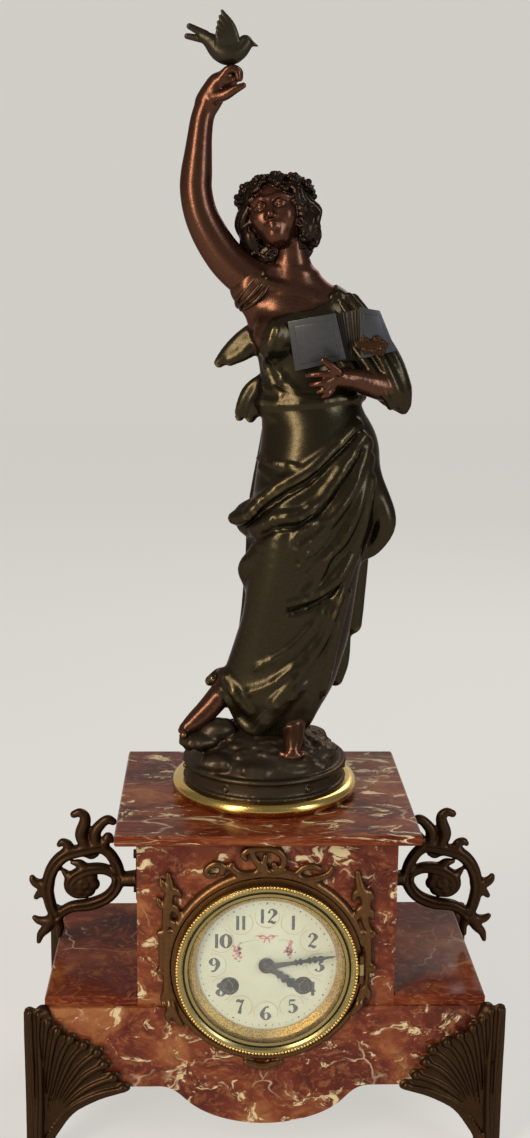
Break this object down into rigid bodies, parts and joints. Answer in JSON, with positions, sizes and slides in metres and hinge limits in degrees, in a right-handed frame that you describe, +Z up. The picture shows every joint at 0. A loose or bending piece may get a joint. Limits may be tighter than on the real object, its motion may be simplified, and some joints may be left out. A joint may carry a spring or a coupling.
{
  "type": "figural mantel clock",
  "caption": "Marble mantel clock on bronze feet with scroll handles, a hinged glazed dial, a striking pendulum movement and a standing robed figure with a bird and an open book.",
  "frame": {"origin": "centre of the footprint on the floor", "axes": "+Z up, -Y towards the viewer of the dial, +X to that viewer's right"},
  "size_m": [0.312, 0.1642, 0.6995],
  "materials": {
    "marble": "polished",
    "bronze": "dark patina",
    "figure_metal": "brown and green patina",
    "gilt_brass": "polished",
    "steel": "satin",
    "blued_steel": "dark",
    "brass": "satin",
    "enamel": "gloss",
    "glass": "clear"
  },
  "bodies": {
    "case": {"top_slab": "marble", "pedestal_front_panel": "marble", "pedestal_back_panel": "marble", "pedestal_side_panels": "marble", "step_plates": "marble", "base_front_panel": "marble", "base_back_panel": "marble", "base_side_panels": "marble", "foot_front_left": "bronze", "foot_front_right": "bronze", "foot_back_left": "bronze", "foot_back_right": "bronze", "handle_left": "bronze", "handle_right": "bronze", "dial_surround": "bronze", "figure_body": "figure_metal", "figure_head": "figure_metal", "raised_arm": "figure_metal", "book_arm": "figure_metal", "book": "figure_metal", "bird": "figure_metal", "ground": "figure_metal", "plinth_ring": "gilt_brass", "dial_ring": "gilt_brass", "rear_bezel": "gilt_brass", "foot_screws": "steel", "handle_screws": "steel", "figure_stud": "steel", "straps": "steel", "front_plate": "brass", "back_plate": "brass", "suspension_cock": "brass", "bell": "brass", "enamel_dial": "enamel"},
    "bezel_door": {"bezel": "gilt_brass", "bezel_glass": "glass", "sight_ring": "gilt_brass"},
    "rear_door": {"rear_door": "gilt_brass"},
    "minute_hand": {"minute_hand": "blued_steel", "cannon_pinion": "brass"},
    "hour_hand": {"hour_hand": "blued_steel", "hour_wheel": "brass"},
    "minute_wheel": {"minute_wheel": "brass"},
    "centre_wheel": {"centre_wheel": "brass"},
    "third_wheel": {"third_wheel": "brass"},
    "escape_wheel": {"escape_wheel": "brass"},
    "intermediate_wheel": {"intermediate_wheel": "brass"},
    "going_barrel": {"going_barrel": "brass"},
    "going_arbor": {"going_winding_arbor": "steel"},
    "strike_barrel": {"strike_barrel": "brass"},
    "strike_arbor": {"strike_winding_arbor": "steel"},
    "strike_second": {"strike_second_wheel": "brass"},
    "pin_wheel": {"pin_wheel": "brass"},
    "warning_wheel": {"warning_wheel": "brass"},
    "fly": {"fly": "steel"},
    "pendulum": {"pallets": "steel", "pendulum_rod": "steel", "pendulum_bob": "brass"},
    "hammer": {"hammer": "steel"},
    "regulator": {"regulator_arbor": "steel"}
  },
  "joints": [
    {"name": "bezel_hinge", "type": "hinge", "parent": "case", "child": "bezel_door", "pos_m": [0.0584, -0.0731, 0.128], "axis": [0, 0, 1], "range_deg": [0, 100]},
    {"name": "rear_door_hinge", "type": "hinge", "parent": "case", "child": "rear_door", "pos_m": [-0.0584, 0.0731, 0.128], "axis": [0, 0, 1], "range_deg": [0, 100]},
    {"name": "minute_hand_spin", "type": "hinge", "parent": "case", "child": "minute_hand", "pos_m": [0, -0.04, 0.128], "axis": [0, 1, 0], "continuous": true},
    {"name": "hour_hand_spin", "type": "hinge", "parent": "case", "child": "hour_hand", "pos_m": [0, -0.04, 0.128], "axis": [0, 1, 0], "continuous": true},
    {"name": "minute_wheel_spin", "type": "hinge", "parent": "case", "child": "minute_wheel", "pos_m": [0, -0.04, 0.114], "axis": [0, 1, 0], "continuous": true},
    {"name": "third_wheel_spin", "type": "hinge", "parent": "case", "child": "third_wheel", "pos_m": [-0.00127, -0.04, 0.1425], "axis": [0, 1, 0], "continuous": true},
    {"name": "centre_wheel_spin", "type": "hinge", "parent": "case", "child": "centre_wheel", "pos_m": [0, -0.04, 0.128], "axis": [0, 1, 0], "continuous": true},
    {"name": "escape_wheel_spin", "type": "hinge", "parent": "case", "child": "escape_wheel", "pos_m": [0, -0.04, 0.15588], "axis": [0, 1, 0], "continuous": true},
    {"name": "intermediate_wheel_spin", "type": "hinge", "parent": "case", "child": "intermediate_wheel", "pos_m": [0.0134, -0.04, 0.13599], "axis": [0, 1, 0], "continuous": true},
    {"name": "going_barrel_spin", "type": "hinge", "parent": "case", "child": "going_barrel", "pos_m": [0.023, -0.04, 0.114], "axis": [0, 1, 0], "continuous": true},
    {"name": "going_winding", "type": "hinge", "parent": "case", "child": "going_arbor", "pos_m": [0.023, -0.04, 0.114], "axis": [0, 1, 0], "continuous": true},
    {"name": "pin_wheel_spin", "type": "hinge", "parent": "case", "child": "pin_wheel", "pos_m": [-0.01132, -0.04, 0.15222], "axis": [0, 1, 0], "continuous": true},
    {"name": "strike_barrel_spin", "type": "hinge", "parent": "case", "child": "strike_barrel", "pos_m": [-0.023, -0.04, 0.114], "axis": [0, 1, 0], "continuous": true},
    {"name": "strike_winding", "type": "hinge", "parent": "case", "child": "strike_arbor", "pos_m": [-0.023, -0.04, 0.114], "axis": [0, 1, 0], "continuous": true},
    {"name": "strike_second_spin", "type": "hinge", "parent": "case", "child": "strike_second", "pos_m": [-0.01679, -0.04, 0.13718], "axis": [0, 1, 0], "continuous": true},
    {"name": "warning_wheel_spin", "type": "hinge", "parent": "case", "child": "warning_wheel", "pos_m": [-0.02197, -0.04, 0.15222], "axis": [0, 1, 0], "continuous": true},
    {"name": "fly_spin", "type": "hinge", "parent": "case", "child": "fly", "pos_m": [-0.02986, -0.04, 0.14934], "axis": [0, 1, 0], "continuous": true},
    {"name": "pendulum_swing", "type": "hinge", "parent": "case", "child": "pendulum", "pos_m": [0, -0.04, 0.1655], "axis": [0, 1, 0], "range_deg": [-4, 4]},
    {"name": "hammer_lift", "type": "hinge", "parent": "case", "child": "hammer", "pos_m": [-0.034, -0.04, 0.138], "axis": [0, -1, 0], "range_deg": [0, 14]},
    {"name": "regulator_turn", "type": "hinge", "parent": "case", "child": "regulator", "pos_m": [0, -0.04, 0.1735], "axis": [0, 1, 0], "continuous": true}
  ],
  "couplings": [
    {"joint": "hour_hand_spin", "follows": "minute_hand_spin", "ratio": 0.083333},
    {"joint": "minute_wheel_spin", "follows": "minute_hand_spin", "ratio": -0.33333},
    {"joint": "centre_wheel_spin", "follows": "third_wheel_spin", "ratio": -0.083333},
    {"joint": "escape_wheel_spin", "follows": "third_wheel_spin", "ratio": -13},
    {"joint": "intermediate_wheel_spin", "follows": "third_wheel_spin", "ratio": 0.015152},
    {"joint": "going_barrel_spin", "follows": "third_wheel_spin", "ratio": -0.0021645},
    {"joint": "strike_second_spin", "follows": "pin_wheel_spin", "ratio": -0.11111},
    {"joint": "strike_barrel_spin", "follows": "pin_wheel_spin", "ratio": 0.015873},
    {"joint": "warning_wheel_spin", "follows": "pin_wheel_spin", "ratio": -9.1429},
    {"joint": "fly_spin", "follows": "pin_wheel_spin", "ratio": 76.19}
  ]
}
